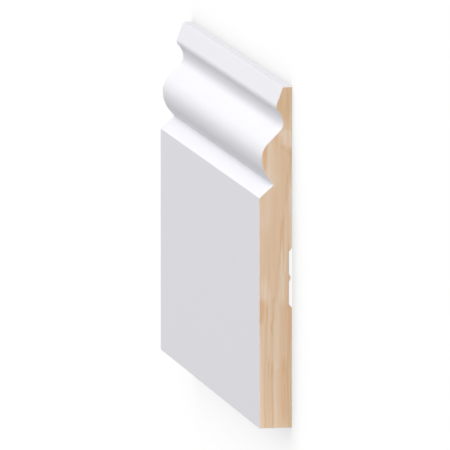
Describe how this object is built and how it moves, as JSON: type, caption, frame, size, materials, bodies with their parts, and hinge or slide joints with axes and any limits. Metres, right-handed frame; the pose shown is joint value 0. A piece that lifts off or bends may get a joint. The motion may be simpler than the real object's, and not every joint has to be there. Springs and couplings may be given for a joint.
{
  "type": "skirting board length",
  "caption": "Short length of tall moulded skirting board with an ogee top, lying on its back. Primed white on its long faces, with bare pine ends and a relief groove in the back.",
  "frame": {"origin": "middle of the board's footprint, at the level of its back face", "axes": "+X along the length, +Y from the foot to the moulded top edge, +Z from the back to the painted face"},
  "size_m": [0.3, 0.185, 0.018],
  "materials": {
    "primed_pine": "white acrylic primer, matt to low sheen, on the long faces; bare planed pine on the two cut ends"
  },
  "bodies": {
    "root": {"skirting_board": "primed_pine"}
  },
  "joints": []
}
